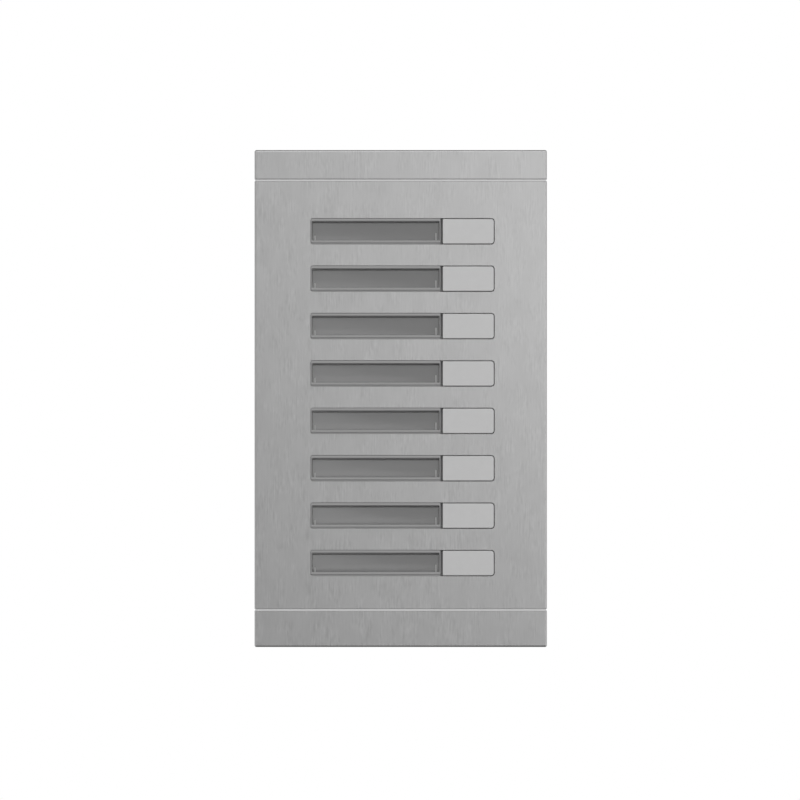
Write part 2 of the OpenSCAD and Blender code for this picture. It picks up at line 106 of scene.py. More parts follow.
# Fingers of the chassis that hold a pane by its lower edge: place across and top end, from the row's middle
CLIPS = ((OPENING.x0 + 1.15, -1.7), (OPENING.x1 - 1.35, -0.6))
CLIP = SimpleNamespace(w=0.6, t=0.35)
POCKET_FIT = 0.1
PLATE_D = 28.6  # rear face of the chassis plate
FLANGE_OVER = 1.1
CAP = SimpleNamespace(
    x0=BUTTON.x0, x1=BUTTON.x1 - FLANGE_OVER, half_h=(BUTTON.z1 - BUTTON.z0) / 2 - FLANGE_OVER, low_trim=0.06,
    r=1.1, left_r=0.4, edge_r=0.3,
)
CAP_FLANGE = SimpleNamespace(x0=BUTTON.x0, x1=BUTTON.x1, half_h=CAP.half_h + FLANGE_OVER, d0=29.4, d1=30.9)
STEM_X = (CAP.x0 + CAP.x1) / 2
STEM_R = 2.5
STEM_END = BUTTON.d0
POCKET_GAP = 0.2
POCKET_FLOOR = 28.2
GUIDE_BACK = 26.6
WALL_T = 2.4
SKIRT_D = 19.5
POSTS = [(x, z) for x in (-48, 48) for z in (84, 0, -84)]
SHELL_SCREWS = {
    "top_cap": [(-35, 93.5), (35, 93.5)],
    "bottom_cap": [(-35, -92.5), (35, -92.5)],
    "front_cover": [(x, z) for x in (-48, 48) for z in (-42, 42)],
}
LOCK_X = 36
LOCK_D = 10
FIX = [(x, z) for x in (-40, 40) for z in (-80, 80)]
CABLE_Z = -45
TERMINALS = [14 + (p - 1.5) * 5.08 for p in range(4)]
TERMINAL_Z = -62
LAMPS = [(x, z) for z in ROW_Z.values() for x in (-23, 3)]


# ---------- Rings, shells and solids ----------

SHARP = 0.02  # the smallest corner radius, which keeps every ring's points apart


def front(points, level):
    """Points (x, z) of a front view, placed at a depth."""
    return [Vector((x, -level, z)) for x, z in points]


def plan(points, level):
    """Points (x, d) of a plan view, placed at a height."""
    return [Vector((x, -d, level)) for x, d in points]


def side(points, level):
    """Points (d, z) of a side view, placed at an x."""
    return [Vector((level, -d, z)) for d, z in points]


def rectangle(a0, a1, b0, b1, radii=(0, 0, 0, 0), pull=(1, 1, 1, 1), steps=6):
    """Outline of a rectangle that can be inset. Its corner radii go round from (a0, b0) by (a1, b0).
    pull says how much of an inset each side takes: a0, a1, b0, b1."""

    def outline(inset):
        left, right, low, high = a0 + inset * pull[0], a1 - inset * pull[1], b0 + inset * pull[2], b1 - inset * pull[3]
        places = [(left, low, 1, 1), (right, low, -1, 1), (right, high, -1, -1), (left, high, 1, -1)]
        points = []
        for quarter, ((a, b, side_a, side_b), radius) in enumerate(zip(places, radii)):
            r = max(radius - inset, SHARP)
            for k in range(steps + 1):
                angle = math.pi * (1 + quarter / 2) + math.pi / 2 * k / steps
                points.append((a + side_a * r + r * math.cos(angle), b + side_b * r + r * math.sin(angle)))
        return points

    return outline


def circle(a, b, radius, steps=48, squash=1.0):
    """Outline of a circle, or of an ellipse if squash isn't 1."""

    def outline(inset):
        r = radius - inset
        turns = [2 * math.pi * k / steps for k in range(steps)]
        return [(a + r * math.cos(t), b + r * squash * math.sin(t)) for t in turns]

    return outline


def lobed(a, b, outer, inner, lobes=6, steps=60):
    """Outline of a star-shaped drive with round lobes."""

    def outline(inset):
        points = []
        for k in range(steps):
            t = 2 * math.pi * k / steps
            r = (outer + inner) / 2 + (outer - inner) / 2 * math.cos(lobes * t) - inset
            points.append((a + r * math.cos(t), b + r * math.sin(t)))
        return points

    return outline


def block(outline, low, high, low_r=0.0, high_r=0.0, place=front, steps=5):
    """Rings of an outline that runs from one level to another, with rounded edges at its ends."""
    quarter = [math.pi / 2 * k / steps for k in range(steps + 1)]
    levels = [(low_r * (1 - math.sin(a)), low + low_r * (1 - math.cos(a))) for a in quarter] if low_r else [(0, low)]
    levels += (
        [(high_r * (1 - math.cos(a)), high - high_r * (1 - math.sin(a))) for a in quarter] if high_r else [(0, high)]
    )
    return [place(outline(inset), level) for inset, level in levels]


def bore(outline, low, high, mouth, place=front, steps=4, past=0.5):
    """Rings of a cutter whose mouth at the high level widens to round the hole's edge.
    If high is below low, the cutter runs the other way."""
    way = 1 if high > low else -1
    quarter = [math.pi / 2 * k / steps for k in range(steps + 1)]
    levels = [(0, low)] + [(-mouth * (1 - math.cos(a)), high - way * mouth * (1 - math.sin(a))) for a in quarter]
    levels.append((-mouth, high + way * past))
    return [place(outline(inset), level) for inset, level in levels]


def turned(x, z, profile, steps=48):
    """Rings of a solid turned about an axis along the depth, from (radius, depth) pairs."""
    return [front(circle(x, z, radius, steps)(0), d) for radius, d in profile]


def mesh_of(shells, name="shape"):
    """A mesh in millimetres with a closed shell for each list of rings."""
    bm = bmesh.new()
    for rings in shells:
        loops = [[bm.verts.new(point) for point in ring] for ring in rings]
        for low, high in zip(loops, loops[1:]):
            for k, vert in enumerate(low):
                following = (k + 1) % len(low)
                bm.faces.new((vert, low[following], high[following], high[k]))
        bm.faces.new(loops[0][::-1])
        bm.faces.new(loops[-1])
    bmesh.ops.recalc_face_normals(bm, faces=bm.faces)
    mesh = bpy.data.meshes.new(name)
    bm.to_mesh(mesh)
    bm.free()
    return mesh


def new_object(name, mesh):
    obj = bpy.data.objects.new(name, mesh)
    bpy.context.scene.collection.objects.link(obj)
    return obj


def solid(name, shells, *steps):
    """An object made of shells, then changed step by step: each step is ("UNION" or "DIFFERENCE", shells)."""
    obj = new_object(name, mesh_of(shells, name))
    for operation, tools in steps:
        tool = new_object("tool", mesh_of(tools))
        modifier = obj.modifiers.new("step", "BOOLEAN")
        modifier.operation = operation
        modifier.solver = "MANIFOLD"
        modifier.object = tool
        bpy.context.view_layer.update()
        result = bpy.data.meshes.new_from_object(obj.evaluated_get(bpy.context.evaluated_depsgraph_get()))
        old = obj.data
        obj.modifiers.clear()
        obj.data = result
        bpy.data.meshes.remove(old)
        old = tool.data
        bpy.data.objects.remove(tool)
        bpy.data.meshes.remove(old)
        result.name = name
    return obj


def finish_piece(obj, body, slot, material, *nodes, sharp=32):
    """Scales a piece to metres, gives it its material, smooths it between its sharp edges, hangs it on its body's empty
    and hides the CAD nodes that it stands for.
    """
    mesh = obj.data
    for vertex in mesh.vertices:
        vertex.co *= MM
    mesh.materials.clear()
    mesh.materials.append(material)
    mesh.shade_smooth()
    mesh.set_sharp_from_angle(angle=math.radians(sharp))
    weighted = obj.modifiers.new("normals", "WEIGHTED_NORMAL")
    weighted.keep_sharp = True
    weighted.weight = 80
    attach(obj, body)
    if nodes:
        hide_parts(*nodes)
    return obj


# ---------- Materials ----------

def new_material(name, base, roughness, metallic=0.0, **sockets):
    """A Principled material. sockets are further input values, with underscores for spaces."""
    material = bpy.data.materials.new(name)
    material.use_nodes = True
    shader = material.node_tree.nodes["Principled BSDF"]
    shader.inputs["Base Color"].default_value = (*base, 1)
    shader.inputs["Roughness"].default_value = roughness
    shader.inputs["Metallic"].default_value = metallic
    for socket, value in sockets.items():
        shader.inputs[socket.replace("_", " ")].default_value = value
    return SimpleNamespace(material=material, tree=material.node_tree, shader=shader)


def node(made, kind, inputs=None, **settings):
    """Adds a node. inputs are socket values or the sockets that feed them."""
    added = made.tree.nodes.new(kind)
    for setting, value in settings.items():
        setattr(added, setting, value)
    for socket, value in (inputs or {}).items():
        if isinstance(value, bpy.types.NodeSocket):
            made.tree.links.new(value, added.inputs[socket])
        else:
            added.inputs[socket].default_value = value
    return added


def grain(made, size, detail=2.0, rough=0.5):
    """Noise in the object's own space, whose grains are size millimetres across in x, y and z."""
    place = node(made, "ShaderNodeTexCoord").outputs["Object"]
    scaled = node(made, "ShaderNodeMapping", {"Vector": place, "Scale": [1 / (s * MM) for s in size]})
    noise = node(
        made, "ShaderNodeTexNoise",
        {"Vector": scaled.outputs["Vector"], "Scale": 1.0, "Detail": detail, "Roughness": rough},
    )
    return noise.outputs["Fac"]


def blend_values(made, a, b, share):
    return node(made, "ShaderNodeMix", {0: share, 2: a, 3: b}, data_type="FLOAT").outputs[0]


def spread(made, value, low, high, start=0.3, end=0.7):
    """Maps a noise value from its middle range to low to high."""
    ranged = node(
        made, "ShaderNodeMapRange",
        {"Value": value, "From Min": start, "From Max": end, "To Min": low, "To Max": high},
    )
    return ranged.outputs["Result"]


def tint(made, value, low, high, start=0.3, end=0.7):
    """Links the base colour to a ramp from one colour to another along a noise value."""
    ramp = node(made, "ShaderNodeValToRGB", {"Fac": value})
    ramp.color_ramp.elements[0].position = start
    ramp.color_ramp.elements[0].color = (*low, 1)
    ramp.color_ramp.elements[1].position = end
    ramp.color_ramp.elements[1].color = (*high, 1)
    made.tree.links.new(ramp.outputs["Color"], made.shader.inputs["Base Color"])


def roughen(made, value, low, high):
    made.tree.links.new(spread(made, value, low, high), made.shader.inputs["Roughness"])


def bump(made, value, height, strength=1.0):
    """Raises the surface by up to height millimetres along a noise value."""
    raised = node(made, "ShaderNodeBump", {"Height": value, "Distance": height * MM, "Strength": strength})
    made.tree.links.new(raised.outputs["Normal"], made.shader.inputs["Normal"])


def grey(value, warmth=0.0):
    """A neutral colour, or a slightly warm or cool one."""
    return (value * (1 + warmth), value, value * (1 - warmth))


def brushed_aluminium():
    """Satin anodised aluminium, brushed along its height."""
    made = new_material("brushed_aluminium", grey(0.6), 0.36, 1.0, Anisotropic=0.45)
    made.tree.links.new(
        node(made, "ShaderNodeTangent", direction_type="RADIAL", axis="Z").outputs["Tangent"],
        made.shader.inputs["Tangent"],
    )
    long = grain(made, (0.5, 0.5, 9.0), detail=0)
    short = grain(made, (0.6, 0.6, 2.6), detail=0)
    brushing = blend_values(made, long, short, 0.5)
    patches = spread(made, grain(made, (4.5, 4.5, 7.0), detail=1), 0.2, 1.0, 0.42, 0.62)
    brushing = blend_values(made, 0.5, brushing, patches)
    cloud = grain(made, (6.0, 6.0, 12.0), detail=1)
    tint(made, blend_values(made, brushing, cloud, 0.2), grey(0.55), grey(0.65), 0.34, 0.66)
    roughen(made, brushing, 0.31, 0.42)
    bump(made, brushing, 0.004)
    return made.material


def bright_trim():
    made = new_material("bright_trim", grey(0.96), 0.4, 0.15)
    fine = grain(made, (6.0, 0.4, 0.25))
    roughen(made, fine, 0.34, 0.42)
    bump(made, fine, 0.001)
    return made.material


def moulded(name, base, roughness, grain_mm=0.22, height=0.004, vary=0.08, **sockets):
    """A moulded plastic with a fine spark-eroded grain."""
    made = new_material(name, grey(base), roughness, **sockets)
    texture = grain(made, (grain_mm,) * 3, detail=3)
    cloud = grain(made, (14.0,) * 3)
    tint(made, blend_values(made, texture, cloud, 0.5), grey(base * (1 - vary)), grey(base * (1 + vary)))
    roughen(made, texture, roughness - 0.06, roughness + 0.06)
    bump(made, texture, height)
    return made.material


def coloured_plastic(name, low, high, roughness, **sockets):
    """A moulded plastic between two close colours."""
    made = new_material(name, high, roughness, **sockets)
    texture = grain(made, (0.3,) * 3, detail=3)
    tint(made, texture, low, high)
    roughen(made, texture, roughness - 0.05, roughness + 0.05)
    bump(made, texture, 0.003)
    return made.material


def silver_button():
    """Satin silver paint with a fine metal flake."""
    made = new_material("silver_button", grey(0.8), 0.48, 0.35)
    flake = grain(made, (0.09,) * 3, detail=1)
    cloud = grain(made, (3.0,) * 3)
    tint(made, blend_values(made, flake, cloud, 0.4), grey(0.78), grey(0.82))
    roughen(made, flake, 0.44, 0.52)
    bump(made, flake, 0.0012)
    return made.material


def smoked_window():
    """Smoked, slightly milky plastic, with faint waves from moulding. It lets light through to the card."""
    made = new_material("smoked_window", grey(0.365), 0.1, IOR=1.5, Transmission_Weight=0.35)
    waves = grain(made, (9.0, 9.0, 3.0))
    bump(made, waves, 0.004)
    clear = node(made, "ShaderNodeBsdfTransparent", {"Color": (*grey(0.62), 1)})
    ray = node(made, "ShaderNodeLightPath").outputs
    lit = node(made, "ShaderNodeMath", {0: ray["Is Shadow Ray"], 1: ray["Is Diffuse Ray"]}, operation="MAXIMUM")
    mixed = node(
        made, "ShaderNodeMixShader", {0: lit.outputs[0], 1: made.shader.outputs[0], 2: clear.outputs[0]}
    )
    made.tree.links.new(mixed.outputs[0], made.tree.nodes["Material Output"].inputs["Surface"])
    return made.material


def card_stock():
    made = new_material("card_stock", grey(0.8, 0.01), 0.85)
    fibre = grain(made, (1.2, 0.25, 0.25), detail=4)
    tint(made, fibre, grey(0.77, 0.008), grey(0.83, 0.004))
    bump(made, fibre, 0.01)
    return made.material


def frosted_guide():
    made = new_material("frosted_guide", grey(0.86, 0.01), 0.38, Subsurface_Weight=0.35)
    made.shader.inputs["Subsurface Radius"].default_value = (2 * MM, 2 * MM, 2 * MM)
    texture = grain(made, (0.4,) * 3)
    tint(made, texture, grey(0.82, 0.012), grey(0.9, 0.008))
    bump(made, texture, 0.006)
    return made.material


def solder_mask():
    """Green solder mask over a pattern of copper tracks, which stand a little proud."""
    made = new_material("solder_mask", (0.01, 0.11, 0.04), 0.3, Coat_Weight=0.25)
    place = node(made, "ShaderNodeTexCoord").outputs["Object"]
    turned_face = node(made, "ShaderNodeMapping", {"Vector": place, "Rotation": (math.pi / 2, 0, 0)})
    tracks = node(
        made, "ShaderNodeTexBrick",
        {
            "Vector": turned_face.outputs["Vector"], "Scale": 1.0, "Mortar Size": 0.35 * MM,
            "Mortar Smooth": 0.2, "Brick Width": 11 * MM, "Row Height": 2.54 * MM,
        },
    )
    track = tracks.outputs["Fac"]
    tint(made, track, (0.008, 0.085, 0.03), (0.02, 0.17, 0.06), 0.2, 0.8)
    bump(made, track, 0.03)
    return made.material


def plated(name, base, roughness, warmth=0.0):
    """Zinc-plated or turned steel."""
    made = new_material(name, grey(base, warmth), roughness, 1.0)
    rings = grain(made, (0.15, 0.6, 0.15), detail=3)
    tint(made, rings, grey(base * 0.92, warmth), grey(base * 1.05, warmth))
    roughen(made, rings, roughness - 0.07, roughness + 0.09)
    bump(made, rings, 0.003)
    return made.material


def foam():
    """Closed-cell foam with open cells along its cut edges."""
    made = new_material("foam", grey(0.03), 0.9)
    place = node(made, "ShaderNodeTexCoord").outputs["Object"]
    cells = node(made, "ShaderNodeTexVoronoi", {"Vector": place, "Scale": 1 / (0.45 * MM)})
    tint(made, cells.outputs["Distance"], grey(0.018), grey(0.05), 0.1, 0.7)
    bump(made, cells.outputs["Distance"], 0.08)
    return made.material


def rubber(name, base):
    made = new_material(name, grey(base), 0.62, Sheen_Weight=0.08)
    texture = grain(made, (0.35,) * 3, detail=3)
    tint(made, texture, grey(base * 0.85), grey(base * 1.2))
    roughen(made, texture, 0.55, 0.7)
    bump(made, texture, 0.006)
    return made.material


ALUMINIUM = brushed_aluminium()
TRIM = bright_trim()
GREY_PLASTIC = moulded("grey_plastic", 0.5, 0.42, vary=0.04)
BUTTON_SILVER = silver_button()
SMOKED = smoked_window()
CARD = card_stock()
GUIDE = frosted_guide()
SILICONE = rubber("silicone", 0.035)
GROMMET = rubber("grommet_rubber", 0.02)
MASK = solder_mask()
BLACK_PLASTIC = moulded("black_plastic", 0.025, 0.45, grain_mm=0.12)
BOX_PLASTIC = moulded("box_plastic", 0.045, 0.5, grain_mm=0.5, height=0.014, vary=0.12)
WHITE_PLASTIC = coloured_plastic("white_plastic", (0.72, 0.71, 0.68), (0.8, 0.79, 0.77), 0.4)
GREEN_PLASTIC = coloured_plastic("green_plastic", (0.02, 0.25, 0.09), (0.03, 0.31, 0.12), 0.42)
PHOSPHOR = coloured_plastic("phosphor", (0.8, 0.62, 0.12), (0.86, 0.7, 0.18), 0.22)
ZINC = plated("zinc_plate", 0.62, 0.3, 0.008)
STAINLESS = plated("stainless", 0.56, 0.22)
FOAM = foam()


# ---------- Metal shell ----------

def shell_cavity(z0, z1):
    """Cutter for the room inside the shell, with small fillets along its front corners."""
    room = rectangle(
        COVER.x0 + SIDE_T, COVER.x1 - SIDE_T, COVER.d0 - 2, FACE_BACK, (0, 0, 0.5, 0.5)
    )
    return block(room, z0, z1, place=plan)


def blind_holes(part):
    return [block(circle(x, z, 1.3, 24), FACE_BACK - 1, FACE_BACK + 2.2) for x, z in SHELL_SCREWS[part]]


def front_cover():
    """Extruded cover with eight slots, whose long edges are round and whose cut ends are broken."""
    pull = (1, 1, SEAM_BREAK, SEAM_BREAK)
    body = block(
        rectangle(COVER.x0, COVER.x1, COVER.z0, COVER.z1, pull=pull), COVER.d0, COVER.d1, 0.3, EDGE_R, steps=7
    )
    slots = [
        bore(
            rectangle(
                SLOT.x0, SLOT.x1, z + SLOT.z0, z + SLOT.z1,
                (SLOT.left_r, SLOT.r, SLOT.r, SLOT.left_r), steps=10,
            ),
            FACE_BACK - 1, COVER.d1, SLOT_EDGE_R,
        )
        for z in ROW_Z.values()
    ]
    obj = solid(
        "front_cover_brushed", [body],
        ("DIFFERENCE", [shell_cavity(COVER.z0 - 1, COVER.z1 + 1)]),
        ("DIFFERENCE", slots),
        ("DIFFERENCE", blind_holes("front_cover")),
    )
    finish_piece(obj, "housing", "brushed_aluminium", ALUMINIUM, "front_cover")


def cap_body(box, top):
    """Rings of an end cap's outside, whose seam side stays nearly square."""
    if top:
        radii, pull = (0, 0, CORNER_R, CORNER_R), (1, 1, SEAM_BREAK, 1)
    else:
        radii, pull = (CORNER_R, CORNER_R, 0, 0), (1, 1, 1, SEAM_BREAK)
    outline = rectangle(box.x0, box.x1, box.z0, box.z1, radii, pull, steps=10)
    return block(outline, box.d0, box.d1, 0.3, EDGE_R, steps=7)


def cap_cavity(box, top):
    z0 = box.z0 - 1 if top else box.z0 + END_T
    z1 = box.z1 - END_T if top else box.z1 + 1
    room = rectangle(box.x0 + SIDE_T, box.x1 - SIDE_T, z0, z1, (0.6, 0.6, 0.6, 0.6))
    return block(room, box.d0 - 2, FACE_BACK, high_r=0.4)


def top_cap():
    box = TOP_CAP
    ledges = [
        block(rectangle(x - 6, x + 6, 3.5, 5.5, (0.3,) * 4), box.z1 - END_T - 1.6, box.z1 - 1, 0.3, place=plan)
        for x in (-26, 26)
    ]
    obj = solid(
        "top_cap_brushed", [cap_body(box, True)],
        ("DIFFERENCE", [cap_cavity(box, True)]),
        ("UNION", ledges),
        ("DIFFERENCE", blind_holes("top_cap")),
    )
    finish_piece(obj, "housing", "brushed_aluminium", ALUMINIUM, "top_cap")


def bottom_cap():
    box = BOTTOM_CAP
    counterbores = [
        bore(circle(x, LOCK_D, 3.0), box.z0 + 1.4, box.z0, 0.2, place=plan) for x in (-LOCK_X, LOCK_X)
    ]
    holes = [block(circle(x, LOCK_D, 1.7, 32), box.z0 - 1, box.z0 + END_T + 1, place=plan) for x in (-LOCK_X, LOCK_X)]
    drain = bore(rectangle(-6, 6, 20, 22, (0.95,) * 4), box.z0 + END_T + 1, box.z0, 0.2, place=plan)
    obj = solid(
        "bottom_cap_brushed", [cap_body(box, False)],
        ("DIFFERENCE", [cap_cavity(box, False)]),
        ("DIFFERENCE", counterbores + [drain]),
        ("DIFFERENCE", holes),
        ("DIFFERENCE", blind_holes("bottom_cap")),
    )
    finish_piece(obj, "housing", "brushed_aluminium", ALUMINIUM, "bottom_cap")


def trim_strip(name, top_gap):
    """Bright strip that lies a little below the surface in a seam, with a shadow gap above it."""
    box = span(name)
    outline = rectangle(box.x0, box.x1, box.z0, box.z1 - top_gap, pull=(1, 1, 0.1, 0.1))
    body = block(outline, box.d0, box.d1, 0.2, EDGE_R - 0.3, steps=6)
    obj = solid(name + "_bright", [body], ("DIFFERENCE", [shell_cavity(box.z0 - 1, box.z1 + 1)]))
    finish_piece(obj, "housing", "polished_trim", TRIM, name)


# ---------- Chassis, windows and buttons ----------

def pocket(z, shrink, radius=0.2):
    """Outline of the room behind a window's lip."""
    return rectangle(
        OPENING.x0 - SIDE_LIP_W + shrink, OPENING.x1 + SIDE_LIP_W - shrink,
        z + OPENING.z0 - LIP_W + shrink, z + OPENING.z1 + LIP_W - shrink, (radius,) * 4,
    )


def bezel_cutter(z):
    """Cutter for a bezel's opening: upright sides, a soft knee, then a slope that rolls over at the rim."""
    flare = BEZEL.slope
    knee = BEZEL.rim_d - SLOPE_DEPTH
    slope = [(0, SEAT_D - 0.5), (0, knee - 0.1), (0.03, knee), (0.12, knee + 0.14),
             (flare / 2 + 0.03, BEZEL.rim_d - BEZEL.low_depth), (flare - 0.14, BEZEL.rim_d - 0.1),
             (flare - 0.05, BEZEL.rim_d - 0.02), (flare, BEZEL.rim_d + 0.4)]
    rings = []
    for wide, d in slope:
        low = BEZEL.low_slope * min(max(1 + (d - BEZEL.rim_d) / BEZEL.low_depth, 0), 1)
        opening = rectangle(
            OPENING.x0 - wide, OPENING.x1 + wide,
            z + OPENING.z0 - low, z + OPENING.z1 + wide * BEZEL.top_slope / flare, (0.25 + wide,) * 4,
        )
        rings.append(front(opening(0), d))
    return rings


def bezel_groove(z):
    """Cutter for the groove below a window: a slope back from the ridge, then a narrow land at the slot's edge."""
    ridge = z + OPENING.z0 - BEZEL.low_slope - 0.05
    land = z + BEZEL.z0 + BEZEL.land_w
    reach = ridge - land
    curve = [(BEZEL.rim_d - BEZEL.groove * deep, ridge - reach * t) for t, deep in GROOVE_CURVE]
    points = [(BEZEL.rim_d + 1, ridge), *curve, (BEZEL.rim_d - BEZEL.land_drop, z + BEZEL.z0 - 1),
              (BEZEL.rim_d + 1, z + BEZEL.z0 - 1)]
    return [side(points, BEZEL.x0 - 1), side(points, BEZEL.x1 + 1)]


def chassis():
    box = CHASSIS
    zs = list(ROW_Z.values())
    tray = block(rectangle(box.x0, box.x1, box.z0, box.z1, (1,) * 4), SKIRT_D, FACE_BACK, 0.3, 0.2)
    inside = block(
        rectangle(box.x0 + WALL_T, box.x1 - WALL_T, box.z0 + WALL_T, box.z1 - WALL_T, (1,) * 4),
        SKIRT_D - 1, PLATE_D, high_r=0.4,
    )
    guides = [
        block(
            rectangle(
                CAP_FLANGE.x0 - 1.1, CAP_FLANGE.x1 + 1.4,
                z - CAP_FLANGE.half_h - 1.4, z + CAP_FLANGE.half_h + 1.4, (0.6,) * 4,
            ),
            GUIDE_BACK, PLATE_D + 0.3, 0.3,
        )
        for z in zs
    ]
    sleeves = [block(pocket(z, -1, 0.8), 23.0, PLATE_D + 0.4, 0.3) for z in zs]
    posts = [block(circle(x, z, 3, 32), BOARD.d1, PLATE_D + 0.5, 0.2) for x, z in POSTS]
    bezels = [
        block(
            rectangle(BEZEL.x0, BEZEL.x1, z + BEZEL.z0, z + BEZEL.z1, (0.6, 0.3, 0.3, 0.75)),
            FACE_BACK - 0.4, BEZEL.rim_d, high_r=0.05,
        )
        for z in zs
    ]
    pockets = [block(pocket(z, 0), 21.5, SEAT_D) for z in zs]
    button_rooms = [
        block(
            rectangle(
                CAP_FLANGE.x0 - POCKET_GAP, CAP_FLANGE.x1 + POCKET_GAP,
                z - CAP_FLANGE.half_h - POCKET_GAP, z + CAP_FLANGE.half_h + POCKET_GAP, (0.4,) * 4,
            ),
            POCKET_FLOOR, FACE_BACK + 1,
        )
        for z in zs
    ]
    stem_holes = [block(circle(STEM_X, z, STEM_R + POCKET_GAP, 40), GUIDE_BACK - 1, POCKET_FLOOR + 1) for z in zs]
    clips = [
        block(
            rectangle(x - CLIP.w / 2, x + CLIP.w / 2, z + OPENING.z0 - 0.3, z + top, (0.1, 0.1, 0.25, 0.25)),
            PANE.d1 + 0.02, PANE.d1 + CLIP.t, 0, 0.12,
        )
        for z in zs for x, top in CLIPS
    ]
    post_holes = [block(circle(x, z, 1.2, 24), BOARD.d1 - 1, PLATE_D - 1) for x, z in POSTS]
    screw_holes = [
        block(circle(x, z, 1.45, 24), PLATE_D - 1, FACE_BACK + 1) for places in SHELL_SCREWS.values() for x, z in places
    ]
    obj = solid(
        "chassis_tray", [tray],
        ("DIFFERENCE", [inside]),
        ("UNION", guides), ("UNION", sleeves), ("UNION", posts),
        ("UNION", bezels), ("DIFFERENCE", [bezel_groove(z) for z in zs]),
        ("DIFFERENCE", pockets), ("DIFFERENCE", [bezel_cutter(z) for z in zs]), ("UNION", clips),
        ("DIFFERENCE", button_rooms), ("DIFFERENCE", stem_holes),
        ("DIFFERENCE", post_holes), ("DIFFERENCE", screw_holes),
    )
    finish_piece(obj, "housing", "grey_plastic", GREY_PLASTIC, "chassis")


def pane_droop(z):
    """Cutter that rounds the lower half of a pane's face back a little."""
    middle, low = z + (PANE.z0 + PANE.z1) / 2, z + PANE.z0
    shares = [k / 12 for k in range(13)]
    curve = [(PANE.d1 - PANE.droop * t * t, middle + (low - middle) * t) for t in shares]
    points = [(PANE.d1 + 1, middle), *curve, (PANE.d1 - PANE.droop * 1.2, low - 0.5), (PANE.d1 + 1, low - 0.5)]
    return [side(points, PANE.x0 - 1), side(points, PANE.x1 + 1)]


def name_window(i):
    """Smoked pane with narrow bevels, and the flange that holds it behind the lip."""
    z = ROW_Z[i]
    box = span(f"name_window_{i}")
    flange = block(pocket(z, POCKET_FIT), box.d0, SEAT_D, 0.05, 0.05)
    wide, deep = PANE.top_bevel, PANE.bevel_depth
    side_pull = PANE.side_bevel / wide
    face = rectangle(
        PANE.x0, PANE.x1, z + PANE.z0, z + PANE.z1, (0.25,) * 4,
        pull=(side_pull, side_pull, PANE.low_bevel / wide, 1),
    )
    levels = [(0, SEAT_D - 0.3), (0, PANE.d1 - deep - 0.03), (0.02, PANE.d1 - deep + 0.02),
              (wide - 0.03, PANE.d1 - 0.03), (wide + 0.03, PANE.d1)]
    pane = [front(face(inset), d) for inset, d in levels]
    obj = solid(f"name_window_pane_{i}", [flange], ("UNION", [pane]), ("DIFFERENCE", [pane_droop(z)]))
    return finish_piece(obj, "housing", "smoked_window", SMOKED, f"name_window_{i}", sharp=12)


def name_card(i):
    box = span(f"name_card_{i}")
    outline = rectangle(box.x0, box.x1, box.z0, box.z1, (0.4,) * 4)
    obj = solid(f"name_card_slip_{i}", [block(outline, box.d0, box.d1, 0.04, 0.04, steps=2)])
    finish_piece(obj, "housing", "name_card", CARD, f"name_card_{i}")


def light_guide(i):
    """Frosted block on two feet, with a hollow over each lamp."""
    z = ROW_Z[i]
    box = span(f"light_guide_{i}")
    body = block(rectangle(box.x0, box.x1, box.z0, box.z1, (0.4,) * 4), 22.0, box.d1, 0.3, 0.1)
    feet = [
        block(rectangle(x - 1, x + 1, z - 1, z + 1, (0.3,) * 4), box.d0, 22.5, 0.1)
        for x in (OPENING.x0 + 2, OPENING.x1 - 2)
    ]
    hollows = [[front(circle(x, z, r, 32)(0), d)
                for r, d in ((2.2, 21.5), (2.2, 22), (1.8, 22.6), (0.9, 22.9), (0.1, 23))]
               for x in (-23, 3)]
    obj = solid(f"light_guide_frosted_{i}", [body], ("UNION", feet), ("DIFFERENCE", hollows))
    finish_piece(obj, "housing", "light_guide", GUIDE, f"light_guide_{i}")


def call_button(i):
    """Hollow cap with a soft front edge, its flange and its stem."""
    z = ROW_Z[i]
    cap = block(
        rectangle(
            CAP.x0, CAP.x1, z - CAP.half_h + CAP.low_trim, z + CAP.half_h,
            (CAP.left_r, CAP.r, CAP.r, CAP.left_r), steps=10
        ),
        CAP_FLANGE.d1 - 0.4, BUTTON.d1, high_r=CAP.edge_r,
    )
    flange = block(
        rectangle(
            CAP_FLANGE.x0, CAP_FLANGE.x1, z - CAP_FLANGE.half_h, z + CAP_FLANGE.half_h, (0.4, 0.8, 0.8, 0.4)
        ),
        CAP_FLANGE.d0, CAP_FLANGE.d1, 0.15, 0.1,
    )
    stem = block(circle(STEM_X, z, STEM_R, 40), STEM_END, CAP_FLANGE.d0 + 0.5, 0.2)
    hollows = [
        block(
            rectangle(x - 2.6, x + 2.6, z - 3.2, z + 3.2, (0.5,) * 4), CAP_FLANGE.d0 - 1, BUTTON.d1 - 1.6, high_r=0.3
        )
        for x in (STEM_X - 6, STEM_X + 6)
    ]
    obj = solid(
        f"call_button_cap_{i}", [flange], ("UNION", [cap]), ("UNION", [stem]), ("DIFFERENCE", hollows)
    )
    finish_piece(obj, f"button_{i}", "silver_button", BUTTON_SILVER, f"call_button_{i}")


def switch_plunger(i):
    box = span(f"switch_plunger_{i}")
    step = 24.6
    profile = [(1.5, box.d0), (1.7, box.d0 + 0.2), (1.7, step - 0.1), (1.6, step),
               (1.45, step + 0.02), (1.4, step + 0.1),
               (1.4, box.d1 - 0.2), (1.34, box.d1 - 0.06), (1.2, box.d1)]
    obj = solid(f"switch_plunger_tip_{i}", [turned(STEM_X, ROW_Z[i], profile)])
    finish_piece(obj, f"button_{i}", "white_plastic", WHITE_PLASTIC, f"switch_plunger_{i}")


